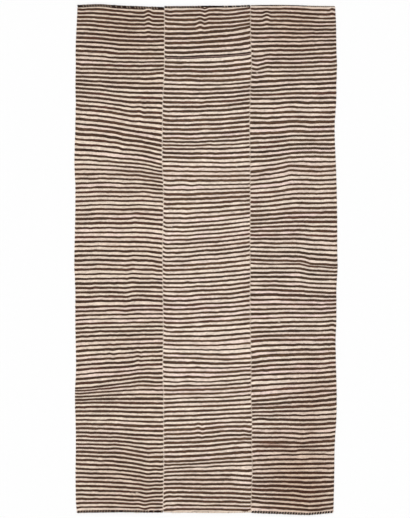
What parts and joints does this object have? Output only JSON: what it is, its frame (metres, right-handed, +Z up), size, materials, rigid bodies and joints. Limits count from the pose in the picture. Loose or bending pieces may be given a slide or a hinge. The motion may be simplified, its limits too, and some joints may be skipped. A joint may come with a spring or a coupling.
{
  "type": "kilim",
  "caption": "Long flat-woven wool rug of narrow striped panels laced side by side, with overcast ends.",
  "frame": {"origin": "under the middle of the rug, on the floor it lies on", "axes": "+X across the rug to the right, +Y along its length to the far end, +Z up from the floor"},
  "size_m": [1.7097, 3.3186, 0.006],
  "materials": {
    "panel_wool": "matt handspun wool in ivory and dark brown stripes",
    "dark_yarn": "matt dark brown overcast wool yarn",
    "grey_yarn": "matt dark grey overcast wool yarn",
    "pale_yarn": "matt ivory and pale grey wool yarn"
  },
  "bodies": {
    "root": {"panel_left": "panel_wool", "panel_middle": "panel_wool", "panel_right": "panel_wool", "edging_top_left": "dark_yarn", "edging_top_middle": "dark_yarn", "edging_top_right": "grey_yarn", "edging_bottom_left": "dark_yarn", "edging_bottom_middle": "pale_yarn", "edging_bottom_right": "dark_yarn"}
  },
  "joints": []
}
